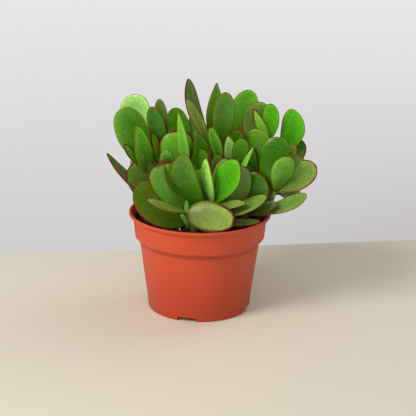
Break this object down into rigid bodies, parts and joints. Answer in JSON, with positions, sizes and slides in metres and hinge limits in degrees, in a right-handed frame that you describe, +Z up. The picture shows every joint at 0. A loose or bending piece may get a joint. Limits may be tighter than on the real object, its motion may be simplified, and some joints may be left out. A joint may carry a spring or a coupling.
{
  "type": "potted jade plant",
  "caption": "Potted jade plant: rooted shoots with thick oval leaves on stubby stems stand in dark soil, in a tapered round nursery pot with a collar and a rolled lip.",
  "frame": {"origin": "centre of the pot's flat underside, on the pot's axis", "axes": "+Z up along the pot's axis, -Y towards the pictured front, +X to the right in the picture"},
  "size_m": [0.222, 0.182, 0.249],
  "materials": {
    "pot": "semi-matte moulded terracotta-coloured plastic",
    "soil": "matt crumbly potting soil",
    "leaf": "waxy fleshy leaf and green stem, satin"
  },
  "bodies": {
    "root": {"pot": "pot", "soil": "soil", "shoot_left": "leaf", "shoot_left_inner": "leaf", "shoot_middle_left": "leaf", "shoot_centre": "leaf", "shoot_centre_right": "leaf", "shoot_middle_right": "leaf", "shoot_right": "leaf", "shoot_right_low": "leaf", "shoot_front": "leaf", "shoot_front_left": "leaf", "shoot_left_low": "leaf", "shoot_front_right": "leaf", "shoot_heart": "leaf", "shoot_back_left": "leaf", "shoot_back": "leaf", "shoot_back_right": "leaf"}
  },
  "joints": []
}
